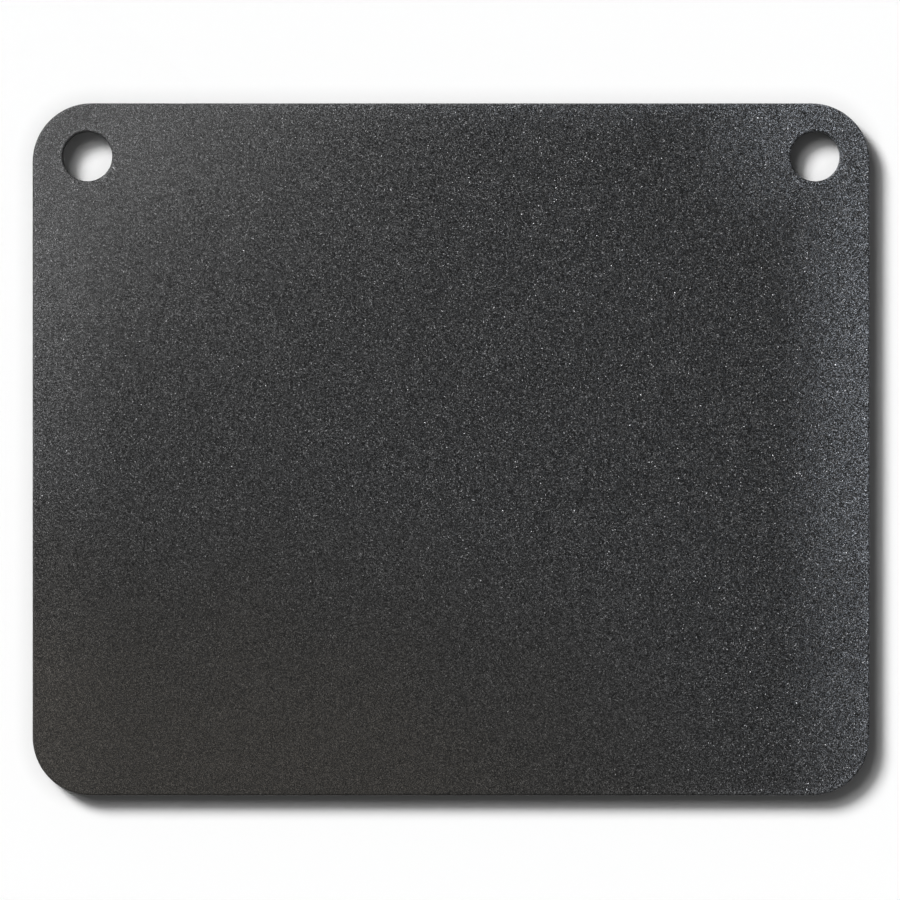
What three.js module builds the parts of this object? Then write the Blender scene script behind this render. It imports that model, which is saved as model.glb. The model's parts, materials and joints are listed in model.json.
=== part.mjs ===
// A pizza steel: one rolled steel plate with round corners, eased edges and a finger hole in each back corner.
// Millimetres, +Z up. The origin is under the middle of the plate, on the surface that it lies on.
// X runs along the long side, and +Y points to the back edge, where the finger holes are.
import * as THREE from "three";

// Driving dimensions
const PLATE_WIDTH = 406.4; // along X, 16 inches
const PLATE_DEPTH = 336; // along Y
const PLATE_THICKNESS = 9.525; // along Z, 3/8 inch
const CORNER_RADIUS = 28.5; // of the outline, seen from above
const EDGE_RADIUS = 1; // of the eased edges, round the outline and the holes, on both faces
const HOLE_DIAMETER = 24;
const HOLE_SIDE_RIM = 14.6; // steel left between a hole and the side edge
const HOLE_BACK_RIM = 13.8; // steel left between a hole and the back edge

// Facets
const ARC_FACETS = 40; // along each round corner, and round each hole
const EDGE_FACETS = 4; // across each eased edge

// Colour and finish of the baked-on black seasoning
const SEASONED_STEEL = new THREE.MeshStandardMaterial({ color: 0x48494b, roughness: 0.6, metalness: 0.4 });

const QUARTER_TURN = Math.PI / 2;

// The outline goes anticlockwise from the front right corner, and straight edges join its round corners.
function plateOutline() {
  const cornerX = PLATE_WIDTH / 2 - CORNER_RADIUS;
  const cornerY = PLATE_DEPTH / 2 - CORNER_RADIUS;
  const outline = new THREE.Shape();
  outline.absarc(cornerX, -cornerY, CORNER_RADIUS, -QUARTER_TURN, 0);
  outline.absarc(cornerX, cornerY, CORNER_RADIUS, 0, QUARTER_TURN);
  outline.absarc(-cornerX, cornerY, CORNER_RADIUS, QUARTER_TURN, 2 * QUARTER_TURN);
  outline.absarc(-cornerX, -cornerY, CORNER_RADIUS, 2 * QUARTER_TURN, 3 * QUARTER_TURN);
  return outline;
}

// A finger hole in one back corner. The side is -1 for the left corner and 1 for the right corner.
function fingerHole(side) {
  const radius = HOLE_DIAMETER / 2;
  const x = side * (PLATE_WIDTH / 2 - HOLE_SIDE_RIM - radius);
  const y = PLATE_DEPTH / 2 - HOLE_BACK_RIM - radius;
  const hole = new THREE.Path();
  hole.absarc(x, y, radius, 0, 4 * QUARTER_TURN);
  return hole;
}

// The plate is cut to its outline, and its edges are rounded off within the outline and the thickness.
function bakingPlate() {
  const outline = plateOutline();
  outline.holes.push(fingerHole(-1), fingerHole(1));
  const geometry = new THREE.ExtrudeGeometry(outline, {
    depth: PLATE_THICKNESS - 2 * EDGE_RADIUS,
    bevelThickness: EDGE_RADIUS,
    bevelSize: EDGE_RADIUS,
    bevelOffset: -EDGE_RADIUS,
    bevelSegments: EDGE_FACETS,
    curveSegments: ARC_FACETS / 2, // an arc gets two facets for each of these
  });
  const plate = new THREE.Mesh(geometry, SEASONED_STEEL);
  plate.name = "baking_plate";
  plate.position.z = EDGE_RADIUS; // brings the underside down to z = 0
  return plate;
}

const pizzaSteel = new THREE.Group();
pizzaSteel.name = "pizza_steel";
pizzaSteel.add(bakingPlate());

export default pizzaSteel;
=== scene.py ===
"""A pizza steel: a plate of seasoned steel with a finger hole in each back corner, in a white studio."""
import json
import math

import bpy
from bpy.props import FloatProperty, FloatVectorProperty, IntProperty, PointerProperty
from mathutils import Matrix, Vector


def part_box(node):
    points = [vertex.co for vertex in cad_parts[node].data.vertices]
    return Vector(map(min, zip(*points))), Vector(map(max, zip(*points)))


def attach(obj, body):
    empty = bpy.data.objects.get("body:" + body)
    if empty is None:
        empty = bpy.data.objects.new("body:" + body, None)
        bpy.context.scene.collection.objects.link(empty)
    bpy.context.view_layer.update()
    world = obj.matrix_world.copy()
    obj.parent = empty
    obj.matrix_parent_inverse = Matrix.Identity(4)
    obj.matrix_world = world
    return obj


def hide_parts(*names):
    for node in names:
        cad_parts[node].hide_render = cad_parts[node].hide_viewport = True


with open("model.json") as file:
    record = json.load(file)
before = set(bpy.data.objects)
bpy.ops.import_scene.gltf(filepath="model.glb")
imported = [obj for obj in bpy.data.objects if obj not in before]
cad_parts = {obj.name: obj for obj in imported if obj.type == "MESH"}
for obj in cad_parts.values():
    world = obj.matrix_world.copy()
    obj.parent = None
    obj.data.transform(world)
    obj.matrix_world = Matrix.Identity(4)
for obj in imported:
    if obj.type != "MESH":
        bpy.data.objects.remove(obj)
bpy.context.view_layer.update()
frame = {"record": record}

bl_info = {
    "name": "Pizza Steel",
    "version": (1, 0, 0),
    "blender": (4, 5, 0),
    "location": "3D View > Sidebar > Pizza Steel",
    "description": "Makes a plate of seasoned steel for baking pizza, and the studio that it is shown in",
    "category": "Object",
}

MILLIMETRE = 0.001

# Sizes that the frame gives, in metres
PLATE_LOW, PLATE_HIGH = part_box("baking_plate")
PLATE_SIZE = PLATE_HIGH - PLATE_LOW
OPENINGS = {opening["name"]: opening["box_m"] for opening in frame["record"]["physics"]["openings"]}
HOLE_LOW, HOLE_HIGH = map(Vector, OPENINGS["right_finger_hole"])
HOLE_CENTRE = (HOLE_LOW + HOLE_HIGH) / 2

# Where the plate lies in the photograph, in pixels
FRAME_PIXELS = 900
PLATE_WIDTH_PIXELS = 837.6
PLATE_CENTRE_PIXELS = (451.3, 449.5)

# The floor lies this far under the plate, so that their faces aren't in one plane.
FLOOR_GAP = 0.1 * MILLIMETRE

# Points of the plate that lie closer than this share of the edge radius are merged.
MERGE_SHARE = 0.01

# Where the seasoning is thin and thick, in half widths of the plate from its middle
THIN_X = 0.8
THICK_X = -0.9
THICK_Y = -0.7
BACK_THICKNESS = 0.3  # share of the thickness that is left along the back
FRONT_LEAN = 0.6  # how much further right the thick seasoning reaches for each step to the front
PATCH_SHIFT = 0.5  # how far patches move these limits
PATCH_DETAIL = 4  # how many finer layers the patches have

# Where hands wear the seasoning, and where the same mask paints sheen
BACK_MARGIN = 30 * MILLIMETRE  # how much less far the wear and painted sheen reach in from the back than from the sides
CORNER_REACH = 1.6  # how many times further it reaches from behind the holes than from the sides
FRONT_START = -30 * MILLIMETRE  # where it starts to fade towards the front, along Y
FRONT_END = -80 * MILLIMETRE  # where it stops fading
FRONT_HOLD = 0.6  # share of the wear and painted sheen that is left from there to the front

# What thick seasoning hides
GRAIN_FILL = 0.6  # share of the grain that the thickest seasoning fills
FLECK_LIMIT = 0.7  # thickness that hides the flecks and the rubbed rim with its painted sheen
WEAR_LIMIT = 0.4  # thickness from which the seasoning hardly wears and the painted sheen hardly shows
LEAST_WEAR = 0.12  # share of the wear and painted sheen that shows there
BROWNING_POWER = 1.3  # how late the seasoning turns brown as it thickens

# The cut walls
WALL_START = 0.8  # height of a face's normal below which the face counts as a wall
WALL_FULL = 0.05  # height of its normal at which it is all wall
WALL_SMOOTHNESS = 0.7  # share of the grain that the walls lack
MARK_STRETCH = 12.5  # how many times longer than wide a cut mark is
MARK_DETAIL = 2  # how many finer layers the cut marks have
WORN_STRETCH = 25  # how many times the width of a cut mark a worn stretch of the eased edges has
WORN_DETAIL = 3  # how many finer layers the worn stretches have
WORN_LIMITS = (0.35, 0.7)  # values of the noise at which wear on the eased edges starts and is full

# How much glossier a light grain is than a dark one
GLOSS_SPREAD = 0.2

# Averages of a noise texture's value and colour
NOISE_MEAN = 0.5
NOISE_MIDDLE = (0.5, 0.5, 0.5)

# A Mix node has sockets of the same name for numbers, vectors and colours, so those for colours go by number.
MIX_FIRST_COLOUR = 6
MIX_SECOND_COLOUR = 7
MIX_COLOUR_RESULT = 2


def number(name, description, default):
    """A number of at least 0, for a property group."""
    return FloatProperty(name=name, description=description, default=default, min=0)


def count(name, description, default):
    """A whole number of at least 1, for a property group."""
    return IntProperty(name=name, description=description, default=default, min=1)


def length(name, description, default):
    """A size in metres, for a property group."""
    return FloatProperty(
        name=name, description=description, default=default, min=0, unit="LENGTH", precision=5
    )


def share(name, description, default):
    """A number from 0 to 1, for a property group."""
    return FloatProperty(
        name=name, description=description, default=default, min=0, max=1, subtype="FACTOR"
    )


def colour(name, description, default):
    """A colour in linear light, for a property group."""
    return FloatVectorProperty(
        name=name, description=description, default=default, min=0, max=1, subtype="COLOR"
    )


def angle(name, description, degrees):
    """An angle, for a property group."""
    return FloatProperty(name=name, description=description, default=math.radians(degrees), subtype="ANGLE")


class PlateSizes(bpy.types.PropertyGroup):
    """Sizes of the plate."""

    width: length("Width", "Length of the plate along X", PLATE_SIZE.x)
    depth: length("Depth", "Length of the plate along Y", PLATE_SIZE.y)
    thickness: length("Thickness", "Height of the plate", PLATE_SIZE.z)
    corner_radius: length("Corner radius", "Radius of the outline's corners", 28.5 * MILLIMETRE)
    edge_radius: length("Edge radius", "Radius of the eased edges", 1 * MILLIMETRE)
    hole_diameter: length("Hole diameter", "Width of a finger hole", 24 * MILLIMETRE)
    hole_x: length("Hole offset", "From the middle of the plate to a hole's centre, along X", HOLE_CENTRE.x)
    hole_y: length("Hole setback", "From the middle of the plate to a hole's centre, along Y", HOLE_CENTRE.y)
    arc_segments: count("Arc segments", "Faces along a quarter turn", 24)
    edge_segments: count("Edge segments", "Faces across an eased edge", 8)


class SeasonedFinish(bpy.types.PropertyGroup):
    """Colours, grain and wear of the seasoned steel."""

    thin_colour: colour("Thin seasoning", "Blue-black of thin seasoning", (0.0103, 0.0111, 0.0124))
    thick_colour: colour("Thick seasoning", "Brown-black of thick seasoning", (0.0274, 0.0252, 0.0224))
    fleck_colour: colour("Flecks", "Colour of the grains that show bare steel", (0.17, 0.17, 0.174))
    fleck_share: share("Fleck share", "Share of the grains that show bare steel", 0.1)
    roughness: share("Roughness", "Roughness of the seasoning", 0.46)
    specular: share("Specular", "How strongly the seasoning reflects", 0.36)
    grain_size: length("Grain size", "Width of a grain of the blasted faces", 0.28 * MILLIMETRE)
    grain_tilt: number("Grain tilt", "How far the grains lean", 0.7)
    grain_contrast: number("Grain contrast", "How much the grains' tones differ", 7.6)
    patch_size: length("Patch size", "Width of a patch of thicker seasoning", 120 * MILLIMETRE)
    # Painted sheen as well as wear: the next two settings lighten the held sides and back corners.
    worn_band: length("Worn band", "How far in from the sides hands wear the seasoning", 50 * MILLIMETRE)
    wear: number("Wear", "How much lighter the worn seasoning is", 5)
    # Painted sheen as well as rubbing: the next two settings lighten a rim along the thin edges.
    sheened_and_rubbed_rim_width: length("Rim band", "Width of the rim that rubbing leaves along the edges", 6 * MILLIMETRE)
    sheened_and_rubbed_rim_strength: number("Rim wear", "How much lighter the rubbed rim is", 1.6)
    # Painted shade: the next two settings darken a line along every edge.
    edge_shade_width: length("Edge band", "Width of the darker line along every edge", 1.6 * MILLIMETRE)
    edge_shade_lightness: share("Edge tone", "How light the line along the edges is", 0.6)
    eased_wear: number("Eased edge wear", "Strength of the wear on the eased edges", 40)
    cut_mark: length("Cut marks", "Width of an upright mark on the cut walls", 0.8 * MILLIMETRE)
    cut_tilt: number("Cut tilt", "How far the cut marks lean", 1.2)


class StudioSettings(bpy.types.PropertyGroup):
    """Light, floor and camera."""

    floor_colour: colour("Floor", "Colour of the floor", (0.95, 0.95, 0.95))
    floor_size: length("Floor size", "Length of each side of the floor", 20)
    contact_shade: share("Contact shade", "How much the floor darkens close to what lies on it", 0.3)
    contact_reach: length("Contact reach", "How far that shade reaches", 10 * MILLIMETRE)
    key_strength: number("Key light", "Strength of the key light", 3.49)
    key_elevation: angle("Key height", "Angle of the key light above the floor", 37)
    key_softness: angle("Key softness", "Angle that the key light fills", 18)
    glow_strength: number("Glow", "Strength of the glow round the key light", 1.25)
    glow_elevation: angle("Glow height", "Angle of the glow above the floor", 46)
    glow_softness: angle("Glow softness", "Angle that the glow fills", 36)
    ceiling: share("Ceiling", "Brightness of the studio straight above", 0.075)
    walls: share("Walls", "Brightness of the studio at the height of the floor", 1)
    wall_falloff: number("Wall falloff", "How fast the walls darken towards the ceiling", 8)
    card_strength: number("Card", "Strength of the card that glows over the back left corner", 0.285)
    card_height: length("Card height", "Height of the card above the floor", 0.13)
    card_length: length("Card length", "Length of the card", 0.34)
    card_width: length("Card width", "Width of the card", 0.03)
    card_turn: angle("Card turn", "Angle of the card's length from the X axis", 38)
    lens: number("Lens", "Focal length of the camera, in millimetres", 400)


def add_node(tree, kind, inputs=None, **options):
    """Adds a node, sets its options, and fills its inputs with plain values or other nodes' outputs."""
    node = tree.nodes.new(kind)
    for option, value in options.items():
        setattr(node, option, value)
    for socket, value in (inputs or {}).items():
        if isinstance(value, bpy.types.NodeSocket):
            tree.links.new(value, node.inputs[socket])
        else:
            node.inputs[socket].default_value = value
    return node


def maths(tree, operation, *values):
    """The result of a Math node."""
    return add_node(tree, "ShaderNodeMath", dict(enumerate(values)), operation=operation).outputs[0]


def vector_maths(tree, operation, *values):
    """The result of a Vector Math node: a vector, or a number where the node measures a length."""
    if operation == "SCALE":
        inputs = {"Vector": values[0], "Scale": values[1]}
    else:
        inputs = dict(enumerate(values))
    node = add_node(tree, "ShaderNodeVectorMath", inputs, operation=operation)
    return node.outputs["Value" if operation == "LENGTH" else "Vector"]


def combine(tree, x=0.0, y=0.0, z=0.0):
    """A vector from three numbers."""
    return add_node(tree, "ShaderNodeCombineXYZ", {"X": x, "Y": y, "Z": z}).outputs[0]


def separate(tree, vector):
    """The three numbers of a vector, by the names of its axes."""
    return add_node(tree, "ShaderNodeSeparateXYZ", {"Vector": vector}).outputs


def ramp(tree, value, low, high, at_low=0.0, at_high=1.0):
    """Goes smoothly from one number to another as a value goes from low to high."""
    places = {"Value": value, "From Min": low, "From Max": high, "To Min": at_low, "To Max": at_high}
    return add_node(tree, "ShaderNodeMapRange", places, interpolation_type="SMOOTHSTEP").outputs["Result"]


def mix_colours(tree, factor, first, second):
    """Goes from the first colour to the second as the factor goes from 0 to 1."""
    inputs = {"Factor": factor, MIX_FIRST_COLOUR: first, MIX_SECOND_COLOUR: second}
    return add_node(tree, "ShaderNodeMix", inputs, data_type="RGBA").outputs[MIX_COLOUR_RESULT]


def new_group(name, kind, inputs, outputs):
    """A node tree with named inputs and outputs, and the sockets that give its inputs."""
    tree = bpy.data.node_groups.new(name, kind)
    for socket, socket_kind in inputs.items():
        tree.interface.new_socket(socket, in_out="INPUT", socket_type=f"NodeSocket{socket_kind}")
    for socket, socket_kind in outputs.items():
        tree.interface.new_socket(socket, in_out="OUTPUT", socket_type=f"NodeSocket{socket_kind}")
    return tree, tree.nodes.new("NodeGroupInput").outputs


def use_group(tree, group, **values):
    """Places a node group in a tree and returns its outputs. The values' names have _ for each space."""
    node = tree.nodes.new("ShaderNodeGroup")
    node.node_tree = group
    for name, value in values.items():
        socket = node.inputs[name.replace("_", " ").title()]
        if isinstance(value, bpy.types.NodeSocket):
            tree.links.new(value, socket)
        else:
            socket.default_value = value
    return node.outputs


def plate_tree():
    """The plate's geometry: two flat faces, joined by eased walls swept round the outline and the holes."""
    sizes = ("Width", "Depth", "Thickness", "Corner Radius", "Edge Radius")
    hole_sizes = ("Hole Diameter", "Hole X", "Hole Y")
    inputs = {size: "Float" for size in sizes + hole_sizes}
    inputs |= {"Arc Segments": "Int", "Edge Segments": "Int", "Material": "Material"}
    tree, given = new_group("Plate with eased edges", "GeometryNodeTree", inputs, {"Geometry": "Geometry"})
    edge = given["Edge Radius"]

    # The flat face ends one edge radius inside the outline.
    rectangle = add_node(tree, "GeometryNodeCurvePrimitiveQuadrilateral", {
        "Width": maths(tree, "MULTIPLY_ADD", edge, -2, given["Width"]),
        "Height": maths(tree, "MULTIPLY_ADD", edge, -2, given["Depth"]),
    })
    outline = add_node(tree, "GeometryNodeFilletCurve", {
        "Curve": rectangle.outputs["Curve"],
        "Count": given["Arc Segments"],
        "Radius": maths(tree, "SUBTRACT", given["Corner Radius"], edge),
    }, mode="POLY")

    # It also ends one edge radius outside each hole, and a hole's rim runs the other way round.
    rim = add_node(tree, "GeometryNodeCurvePrimitiveCircle", {
        "Resolution": maths(tree, "MULTIPLY", given["Arc Segments"], 4),
        "Radius": maths(tree, "MULTIPLY_ADD", given["Hole Diameter"], 0.5, edge),
    })
    centres = add_node(tree, "GeometryNodeMeshLine", {
        "Count": 2,
        "Start Location": combine(tree, maths(tree, "MULTIPLY", given["Hole X"], -1), given["Hole Y"]),
        "Offset": combine(tree, maths(tree, "MULTIPLY", given["Hole X"], 2)),
    })
    rims = add_node(tree, "GeometryNodeInstanceOnPoints", {
        "Points": centres.outputs["Mesh"],
        "Instance": rim.outputs["Curve"],
    })
    rims = add_node(tree, "GeometryNodeRealizeInstances", {"Geometry": rims.outputs["Instances"]})
    rims = add_node(tree, "GeometryNodeReverseCurve", {"Curve": rims.outputs["Geometry"]})
    face_edges = add_node(tree, "GeometryNodeJoinGeometry")
    tree.links.new(outline.outputs["Curve"], face_edges.inputs["Geometry"])
    tree.links.new(rims.outputs["Curve"], face_edges.inputs["Geometry"])

    # The wall's profile is a rectangle without its inner side, with its two corners rounded off.
    profile = add_node(tree, "GeometryNodeCurvePrimitiveQuadrilateral", {
        "Width": edge,
        "Height": given["Thickness"],
    })
    profile = add_node(tree, "GeometryNodeSetSplineCyclic", {
        "Geometry": profile.outputs["Curve"],
        "Cyclic": False,
    })
    profile = add_node(tree, "GeometryNodeFilletCurve", {
        "Curve": profile.outputs["Geometry"],
        "Count": given["Edge Segments"],
        "Radius": edge,
    }, mode="POLY")
    half_edge = maths(tree, "MULTIPLY", edge, 0.5)
    half_down = maths(tree, "MULTIPLY", given["Thickness"], -0.5)
    profile = add_node(tree, "GeometryNodeTransform", {
        "Geometry": profile.outputs["Curve"],
        "Translation": combine(tree, half_edge, half_down),
        "Rotation": (0, 0, math.pi),
    })
    path = add_node(tree, "GeometryNodeSetCurveNormal", {
        "Curve": face_edges.outputs["Geometry"],
    }, mode="Z_UP")
    walls = add_node(tree, "GeometryNodeCurveToMesh", {
        "Curve": path.outputs["Curve"],
        "Profile Curve": profile.outputs["Geometry"],
    })

    flat_face = add_node(tree, "GeometryNodeFillCurve", {
        "Curve": face_edges.outputs["Geometry"],
    }, mode="NGONS")
    baking_face = add_node(tree, "GeometryNodeTransform", {
        "Geometry": flat_face.outputs["Mesh"],
        "Translation": combine(tree, z=given["Thickness"]),
    })
    underside = add_node(tree, "GeometryNodeFlipFaces", {"Mesh": flat_face.outputs["Mesh"]})
    plate = add_node(tree, "GeometryNodeJoinGeometry")
    for part in (underside.outputs["Mesh"], baking_face.outputs["Geometry"], walls.outputs["Mesh"]):
        tree.links.new(part, plate.inputs["Geometry"])
    plate = add_node(tree, "GeometryNodeMergeByDistance", {
        "Geometry": plate.outputs["Geometry"],
        "Distance": maths(tree, "MULTIPLY", edge, MERGE_SHARE),
    })
    plate = add_node(tree, "GeometryNodeSetShadeSmooth", {"Geometry": plate.outputs["Geometry"]})
    plate = add_node(tree, "GeometryNodeRealizeInstances", {"Geometry": plate.outputs["Geometry"]})
    plate = add_node(tree, "GeometryNodeSetMaterial", {
        "Geometry": plate.outputs["Geometry"],
        "Material": given["Material"],
    })
    add_node(tree, "NodeGroupOutput", {"Geometry": plate.outputs["Geometry"]})
    return tree


def grit_group():
    """The blasted grains: each one's tilt and tone, which are 0 on average, and how bare its steel is."""
    inputs = {"Position": "Vector", "Grain Size": "Float", "Fleck Share": "Float"}
    outputs = {"Tilt": "Vector", "Tone": "Float", "Fleck": "Float"}
    tree, given = new_group("Grit", "ShaderNodeTree", inputs, outputs)
    grain = add_node(tree, "ShaderNodeTexVoronoi", {
        "Vector": given["Position"],
        "Scale": maths(tree, "DIVIDE", 1, given["Grain Size"]),
    }).outputs["Color"]
    chances = add_node(tree, "ShaderNodeTexWhiteNoise", {"Vector": grain}, noise_dimensions="3D").outputs
    luck = add_node(tree, "ShaderNodeSeparateColor", {"Color": chances["Color"]}).outputs["Green"]
    fleck_start = maths(tree, "SUBTRACT", 1, given["Fleck Share"])
    add_node(tree, "NodeGroupOutput", {
        "Tilt": vector_maths(tree, "SUBTRACT", grain, NOISE_MIDDLE),
        "Tone": maths(tree, "SUBTRACT", chances["Value"], NOISE_MEAN),
        "Fleck": ramp(tree, luck, fleck_start, 1),
    })
    return tree


def cut_group():
    """The cut walls: where a face is one, the tilt of the cut's upright marks, and the worn eased edges."""
    inputs = {"Position": "Vector", "Normal": "Vector", "Mark Width": "Float"}
    outputs = {"Wall": "Float", "Tilt": "Vector", "Worn Edge": "Float"}
    tree, given = new_group("Cut walls", "ShaderNodeTree", inputs, outputs)
    facing_up = maths(tree, "ABSOLUTE", separate(tree, given["Normal"])["Z"])
    wall = ramp(tree, facing_up, WALL_START, WALL_FULL)
    marks = add_node(tree, "ShaderNodeTexNoise", {
        "Vector": vector_maths(tree, "MULTIPLY", given["Position"], (1, 1, 1 / MARK_STRETCH)),
        "Scale": maths(tree, "DIVIDE", 1, given["Mark Width"]),
        "Detail": MARK_DETAIL,
    }).outputs["Color"]
    tilt = vector_maths(tree, "SUBTRACT", marks, NOISE_MIDDLE)
    level_tilt = vector_maths(tree, "MULTIPLY", tilt, (1, 1, 0))

    # An eased edge lies where a face is neither flat nor all wall, and it is worn in stretches.
    half_wall = maths(tree, "MULTIPLY", wall, maths(tree, "SUBTRACT", 1, wall))
    stretch = maths(tree, "MULTIPLY", given["Mark Width"], WORN_STRETCH)
    stretches = add_node(tree, "ShaderNodeTexNoise", {
        "Vector": given["Position"],
        "Scale": maths(tree, "DIVIDE", 1, stretch),
        "Detail": WORN_DETAIL,
    }).outputs["Fac"]
    worn = ramp(tree, stretches, *WORN_LIMITS)
    add_node(tree, "NodeGroupOutput", {
        "Wall": wall,
        "Tilt": vector_maths(tree, "SCALE", level_tilt, wall),
        "Worn Edge": maths(tree, "MULTIPLY", half_wall, worn),
    })
    return tree


def seasoning_group():
    """How thick the seasoning is, from 0 to 1: thin at the right, and thickest at the front left."""
    inputs = {"Position": "Vector", "Patch Size": "Float", "Half Width": "Float"}
    tree, given = new_group("Seasoning", "ShaderNodeTree", inputs, {"Thickness": "Float"})
    patches = add_node(tree, "ShaderNodeTexNoise", {
        "Vector": given["Position"],
        "Scale": maths(tree, "DIVIDE", 1, given["Patch Size"]),
        "Detail": PATCH_DETAIL,
    }).outputs["Color"]
    wander = vector_maths(tree, "SUBTRACT", patches, NOISE_MIDDLE)
    spot = vector_maths(tree, "SCALE", given["Position"], maths(tree, "DIVIDE", 1, given["Half Width"]))
    spot = vector_maths(tree, "MULTIPLY_ADD", wander, (PATCH_SHIFT, PATCH_SHIFT, 0), spot)
    place = separate(tree, spot)
    to_front = maths(tree, "MINIMUM", place["Y"], 0)
    across = maths(tree, "MULTIPLY_ADD", to_front, FRONT_LEAN, place["X"])
    left = ramp(tree, across, THIN_X, THICK_X)
    front = ramp(tree, place["Y"], 0, THICK_Y, BACK_THICKNESS, 1)
    add_node(tree, "NodeGroupOutput", {"Thickness": maths(tree, "MULTIPLY", left, front)})
    return tree


def edge_group():
    """How far a point lies from the nearest edge, and how much hands hold the plate there, from 0 to 1; that
    grip mask also paints sheen.
    """
    sizes = ("Width", "Depth", "Corner Radius", "Hole Radius", "Hole X", "Hole Y", "Worn Band")
    inputs = {"Position": "Vector"} | {size: "Float" for size in sizes}
    outputs = {"To Edge": "Float", "Grip Wear And Sheen": "Float"}
    tree, given = new_group("Edges and grips", "ShaderNodeTree", inputs, outputs)
    half_width = maths(tree, "MULTIPLY", given["Width"], 0.5)
    half_depth = maths(tree, "MULTIPLY", given["Depth"], 0.5)
    place = separate(tree, given["Position"])
    from_middle = maths(tree, "ABSOLUTE", place["X"])

    # One quarter of the outline stands for all four.
    corner = combine(
        tree,
        maths(tree, "SUBTRACT", half_width, given["Corner Radius"]),
        maths(tree, "SUBTRACT", half_depth, given["Corner Radius"]),
    )
    quarter = combine(tree, from_middle, maths(tree, "ABSOLUTE", place["Y"]))
    past_corner = vector_maths(tree, "SUBTRACT", quarter, corner)
    outside = vector_maths(tree, "LENGTH", vector_maths(tree, "MAXIMUM", past_corner, (0, 0, 0)))
    past = separate(tree, past_corner)
    inside = maths(tree, "MINIMUM", maths(tree, "MAXIMUM", past["X"], past["Y"]), 0)
    to_outline = maths(tree, "SUBTRACT", given["Corner Radius"], maths(tree, "ADD", outside, inside))

    # Both holes lie at the same place once the left half is folded onto the right half.
    folded = combine(tree, from_middle, place["Y"])
    hole_centre = combine(tree, given["Hole X"], given["Hole Y"])
    from_hole = vector_maths(tree, "LENGTH", vector_maths(tree, "SUBTRACT", folded, hole_centre))
    to_hole = maths(tree, "SUBTRACT", from_hole, given["Hole Radius"])

    # Hands hold the plate by its sides and behind its holes, and sometimes by its back edge, and sheen is
    # painted in the same places.
    to_side = maths(tree, "SUBTRACT", half_width, from_middle)
    to_back = maths(tree, "SUBTRACT", maths(tree, "ADD", half_depth, BACK_MARGIN), place["Y"])
    behind_hole = combine(tree, given["Hole X"], half_depth)
    to_corner = vector_maths(tree, "LENGTH", vector_maths(tree, "SUBTRACT", folded, behind_hole))
    to_corner = maths(tree, "DIVIDE", to_corner, CORNER_REACH)
    to_grip = maths(tree, "MINIMUM", maths(tree, "MINIMUM", to_side, to_back), to_corner)
    grip_wear_and_sheen = ramp(tree, to_grip, given["Worn Band"], 0)
    front = ramp(tree, place["Y"], FRONT_START, FRONT_END, 1, FRONT_HOLD)
    add_node(tree, "NodeGroupOutput", {
        "To Edge": maths(tree, "MINIMUM", to_outline, to_hole),
        "Grip Wear And Sheen": maths(tree, "MULTIPLY", grip_wear_and_sheen, front),
    })
    return tree


def rgba(value):
    """A colour property as a socket takes it."""
    return (*value, 1)


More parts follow.
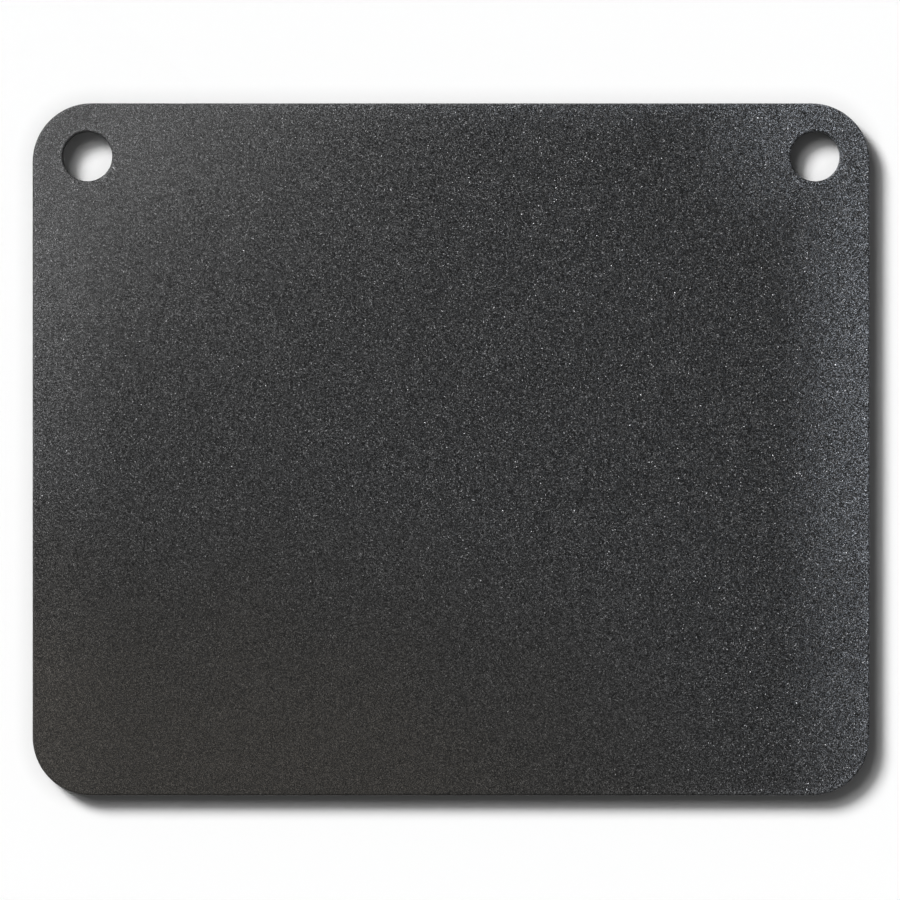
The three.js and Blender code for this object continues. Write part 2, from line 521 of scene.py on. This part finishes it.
def seasoned_steel(plate, finish):
    """Blasted steel under a baked-on black seasoning, with bare flecks, worn sides with painted sheen, a line
    of painted shade along every edge, and plainer cut walls.
    """
    material = bpy.data.materials.new("seasoned_steel")
    material.use_nodes = True
    tree = material.node_tree
    shader = tree.nodes["Principled BSDF"]
    shader.inputs["Specular IOR Level"].default_value = finish.specular
    position = add_node(tree, "ShaderNodeTexCoord").outputs["Object"]
    normal = add_node(tree, "ShaderNodeNewGeometry").outputs["Normal"]
    grit = use_group(
        tree, grit_group(), position=position, grain_size=finish.grain_size, fleck_share=finish.fleck_share,
    )
    cut = use_group(tree, cut_group(), position=position, normal=normal, mark_width=finish.cut_mark)
    thickness = use_group(
        tree, seasoning_group(), position=position, patch_size=finish.patch_size, half_width=plate.width / 2,
    )["Thickness"]
    edges = use_group(
        tree, edge_group(), position=position, width=plate.width, depth=plate.depth, hole_x=plate.hole_x,
        hole_y=plate.hole_y, hole_radius=plate.hole_diameter / 2, corner_radius=plate.corner_radius,
        worn_band=finish.worn_band,
    )

    # Thick seasoning fills the grain and hides the flecks, and the cut walls have less of both.
    blasted = maths(tree, "MULTIPLY_ADD", cut["Wall"], -WALL_SMOOTHNESS, 1)
    grain = maths(tree, "MULTIPLY", maths(tree, "MULTIPLY_ADD", thickness, -GRAIN_FILL, 1), blasted)
    thin = ramp(tree, thickness, FLECK_LIMIT, 0)
    fleck = maths(tree, "MULTIPLY", maths(tree, "MULTIPLY", grit["Fleck"], thin), blasted)

    # A grain is lighter or darker by an exponent, and its lightness is 1 on average.
    contrast = maths(tree, "MULTIPLY", grain, finish.grain_contrast)
    lightness = maths(tree, "EXPONENT", maths(tree, "MULTIPLY", grit["Tone"], contrast))
    half = maths(tree, "MULTIPLY", contrast, 0.5)
    lightness = maths(tree, "MULTIPLY", lightness, maths(tree, "DIVIDE", half, maths(tree, "SINH", half)))

    # Hands, knocks and rubbing lighten the seasoning where it is thin, with painted sheen at the held sides
    # and along the rim, and a line of painted shade follows every edge.
    grip_wear_and_sheen = maths(tree, "MULTIPLY", edges["Grip Wear And Sheen"], finish.wear)
    worn = maths(tree, "MULTIPLY_ADD", cut["Worn Edge"], finish.eased_wear, grip_wear_and_sheen)
    wear = maths(tree, "MULTIPLY", worn, ramp(tree, thickness, WEAR_LIMIT, 0, LEAST_WEAR, 1))
    # Painted sheen as well as rubbing: a lighter rim along the thin edges.
    sheened_and_rubbed = ramp(tree, edges["To Edge"], finish.sheened_and_rubbed_rim_width, 0, 0, finish.sheened_and_rubbed_rim_strength)
    wear = maths(tree, "MULTIPLY_ADD", sheened_and_rubbed, thin, wear)
    lightness = maths(tree, "MULTIPLY", lightness, maths(tree, "ADD", wear, 1))
    # Painted shade: a darker line along every edge.
    line = ramp(tree, edges["To Edge"], 0, finish.edge_shade_width, finish.edge_shade_lightness, 1)
    lightness = maths(tree, "MULTIPLY", lightness, line)

    browning = maths(tree, "POWER", thickness, BROWNING_POWER)
    seasoning = mix_colours(tree, browning, rgba(finish.thin_colour), rgba(finish.thick_colour))
    seasoning = vector_maths(tree, "SCALE", seasoning, lightness)
    steel = mix_colours(tree, fleck, seasoning, rgba(finish.fleck_colour))
    tree.links.new(steel, shader.inputs["Base Color"])
    tree.links.new(fleck, shader.inputs["Metallic"])
    roughness = maths(tree, "MULTIPLY_ADD", grit["Tone"], -GLOSS_SPREAD, finish.roughness)
    tree.links.new(roughness, shader.inputs["Roughness"])

    tilt = vector_maths(tree, "SCALE", grit["Tilt"], maths(tree, "MULTIPLY", grain, finish.grain_tilt))
    tilt = vector_maths(tree, "MULTIPLY_ADD", cut["Tilt"], (finish.cut_tilt,) * 3, tilt)
    tilted = vector_maths(tree, "NORMALIZE", vector_maths(tree, "ADD", normal, tilt))
    tree.links.new(tilted, shader.inputs["Normal"])
    return material


def pale_floor(studio):
    """A matt floor that is a little darker close to what lies on it."""
    material = bpy.data.materials.new("pale_floor")
    material.use_nodes = True
    tree = material.node_tree
    shader = tree.nodes["Principled BSDF"]
    plain = rgba(studio.floor_colour)
    inputs = {"Color": plain, "Distance": studio.contact_reach}
    shaded = add_node(tree, "ShaderNodeAmbientOcclusion", inputs).outputs["Color"]
    tree.links.new(mix_colours(tree, studio.contact_shade, plain, shaded), shader.inputs["Base Color"])
    shader.inputs["Roughness"].default_value = 1
    shader.inputs["Specular IOR Level"].default_value = 0
    return material


def link_object(name, data):
    """Adds an object to the scene at the origin."""
    made = bpy.data.objects.new(name, data)
    bpy.context.scene.collection.objects.link(made)
    return made


class PIZZA_STEEL_OT_plate(bpy.types.Operator):
    """Make the plate of seasoned steel"""

    bl_idname = "pizza_steel.plate"
    bl_label = "Make Plate"
    bl_options = {"REGISTER", "UNDO"}

    def execute(self, context):
        sizes = context.scene.pizza_steel_plate
        finish = context.scene.pizza_steel_finish
        plate = link_object("seasoned_plate", bpy.data.meshes.new("seasoned_plate"))
        shape = plate.modifiers.new("Plate", "NODES")
        shape.node_group = plate_tree()
        values = {
            "Width": sizes.width,
            "Depth": sizes.depth,
            "Thickness": sizes.thickness,
            "Corner Radius": sizes.corner_radius,
            "Edge Radius": sizes.edge_radius,
            "Hole Diameter": sizes.hole_diameter,
            "Hole X": sizes.hole_x,
            "Hole Y": sizes.hole_y,
            "Arc Segments": sizes.arc_segments,
            "Edge Segments": sizes.edge_segments,
            "Material": seasoned_steel(sizes, finish),
        }
        for socket in shape.node_group.interface.items_tree:
            if socket.in_out == "INPUT":
                shape[socket.identifier] = values[socket.name]
        flat_faces = plate.modifiers.new("Flat faces", "WEIGHTED_NORMAL")
        flat_faces.weight = 100
        depsgraph = context.evaluated_depsgraph_get()
        plate.data = bpy.data.meshes.new_from_object(plate.evaluated_get(depsgraph))
        plate.modifiers.clear()
        if not plate.data.polygons:
            raise RuntimeError("the plate has no faces")
        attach(plate, "root")
        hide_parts("baking_plate")
        return {"FINISHED"}


class PIZZA_STEEL_OT_studio(bpy.types.Operator):
    """Make the floor, the light and the camera"""

    bl_idname = "pizza_steel.studio"
    bl_label = "Make Studio"
    bl_options = {"REGISTER", "UNDO"}

    def execute(self, context):
        studio = context.scene.pizza_steel_studio
        self.make_floor(studio)
        self.make_sun("key_light", studio.key_strength, studio.key_elevation, studio.key_softness)
        self.make_sun("key_glow", studio.glow_strength, studio.glow_elevation, studio.glow_softness)
        self.make_card(studio)
        self.make_world(context.scene, studio)
        self.make_camera(context.scene, studio)
        context.scene.view_settings.view_transform = "Standard"
        return {"FINISHED"}

    def make_floor(self, studio):
        """A square floor just under the plate."""
        half = studio.floor_size / 2
        corners = ((-half, -half), (half, -half), (half, half), (-half, half))
        mesh = bpy.data.meshes.new("floor")
        mesh.from_pydata([(x, y, PLATE_LOW.z - FLOOR_GAP) for x, y in corners], [], [(0, 1, 2, 3)])
        mesh.materials.append(pale_floor(studio))
        link_object("floor", mesh)

    def make_sun(self, name, strength, elevation, softness):
        """A soft lamp that shines from over the back left corner."""
        lamp = bpy.data.lights.new(name, "SUN")
        lamp.energy = strength
        lamp.angle = softness
        level = math.cos(elevation)
        to_lamp = Vector((-1, 1, 0)).normalized() * level + Vector((0, 0, math.sin(elevation)))
        sun = link_object(name, lamp)
        sun.location = to_lamp
        sun.rotation_euler = to_lamp.to_track_quat("Z", "Y").to_euler()

    def make_card(self, studio):
        """A glowing card that shows only in the gloss of the plate."""
        lamp = bpy.data.lights.new("card", "AREA")
        lamp.shape = "RECTANGLE"
        lamp.size = studio.card_length
        lamp.size_y = studio.card_width
        lamp.energy = studio.card_strength
        card = link_object("card", lamp)
        card.location = (-HOLE_CENTRE.x, HOLE_CENTRE.y, studio.card_height)
        card.rotation_euler = (0, 0, studio.card_turn)
        card.visible_camera = False
        card.visible_diffuse = False

    def make_world(self, scene, studio):
        """A studio that is white at the height of the floor and darker towards its ceiling."""
        world = bpy.data.worlds.new("studio")
        world.use_nodes = True
        tree = world.node_tree
        direction = add_node(tree, "ShaderNodeTexCoord").outputs["Generated"]
        height = maths(tree, "MAXIMUM", separate(tree, direction)["Z"], 0)
        nearness = maths(tree, "POWER", maths(tree, "SUBTRACT", 1, height), studio.wall_falloff)
        strength = maths(tree, "MULTIPLY_ADD", nearness, studio.walls - studio.ceiling, studio.ceiling)
        background = tree.nodes["Background"]
        background.inputs["Color"].default_value = (1, 1, 1, 1)
        tree.links.new(strength, background.inputs["Strength"])
        scene.world = world

    def make_camera(self, scene, studio):
        """A camera that looks straight down, with the plate where the photograph has it."""
        lens = bpy.data.cameras.new("camera")
        lens.lens = studio.lens
        metres_per_pixel = PLATE_SIZE.x / PLATE_WIDTH_PIXELS
        across = (FRAME_PIXELS / 2 - PLATE_CENTRE_PIXELS[0]) * metres_per_pixel
        up = (PLATE_CENTRE_PIXELS[1] - FRAME_PIXELS / 2) * metres_per_pixel
        distance = FRAME_PIXELS * metres_per_pixel * lens.lens / lens.sensor_width
        camera = link_object("camera", lens)
        camera.location = (across, up, PLATE_HIGH.z + distance)
        scene.camera = camera


class PIZZA_STEEL_PT_panel(bpy.types.Panel):
    """Sizes, finish and studio of the pizza steel"""

    bl_idname = "PIZZA_STEEL_PT_panel"
    bl_label = "Pizza Steel"
    bl_space_type = "VIEW_3D"
    bl_region_type = "UI"
    bl_category = "Pizza Steel"

    def draw(self, context):
        scene = context.scene
        self.list_settings(scene.pizza_steel_plate)
        self.list_settings(scene.pizza_steel_finish)
        self.layout.operator(PIZZA_STEEL_OT_plate.bl_idname)
        self.list_settings(scene.pizza_steel_studio)
        self.layout.operator(PIZZA_STEEL_OT_studio.bl_idname)

    def list_settings(self, settings):
        column = self.layout.column()
        for name in settings.__annotations__:
            column.prop(settings, name)


CLASSES = (
    PlateSizes,
    SeasonedFinish,
    StudioSettings,
    PIZZA_STEEL_OT_plate,
    PIZZA_STEEL_OT_studio,
    PIZZA_STEEL_PT_panel,
)


def register():
    for made in CLASSES:
        bpy.utils.register_class(made)
    bpy.types.Scene.pizza_steel_plate = PointerProperty(type=PlateSizes)
    bpy.types.Scene.pizza_steel_finish = PointerProperty(type=SeasonedFinish)
    bpy.types.Scene.pizza_steel_studio = PointerProperty(type=StudioSettings)


def unregister():
    del bpy.types.Scene.pizza_steel_studio
    del bpy.types.Scene.pizza_steel_finish
    del bpy.types.Scene.pizza_steel_plate
    for made in reversed(CLASSES):
        bpy.utils.unregister_class(made)


def main():
    register()
    bpy.ops.pizza_steel.plate()
    bpy.ops.pizza_steel.studio()


if __name__ == "__main__":
    main()
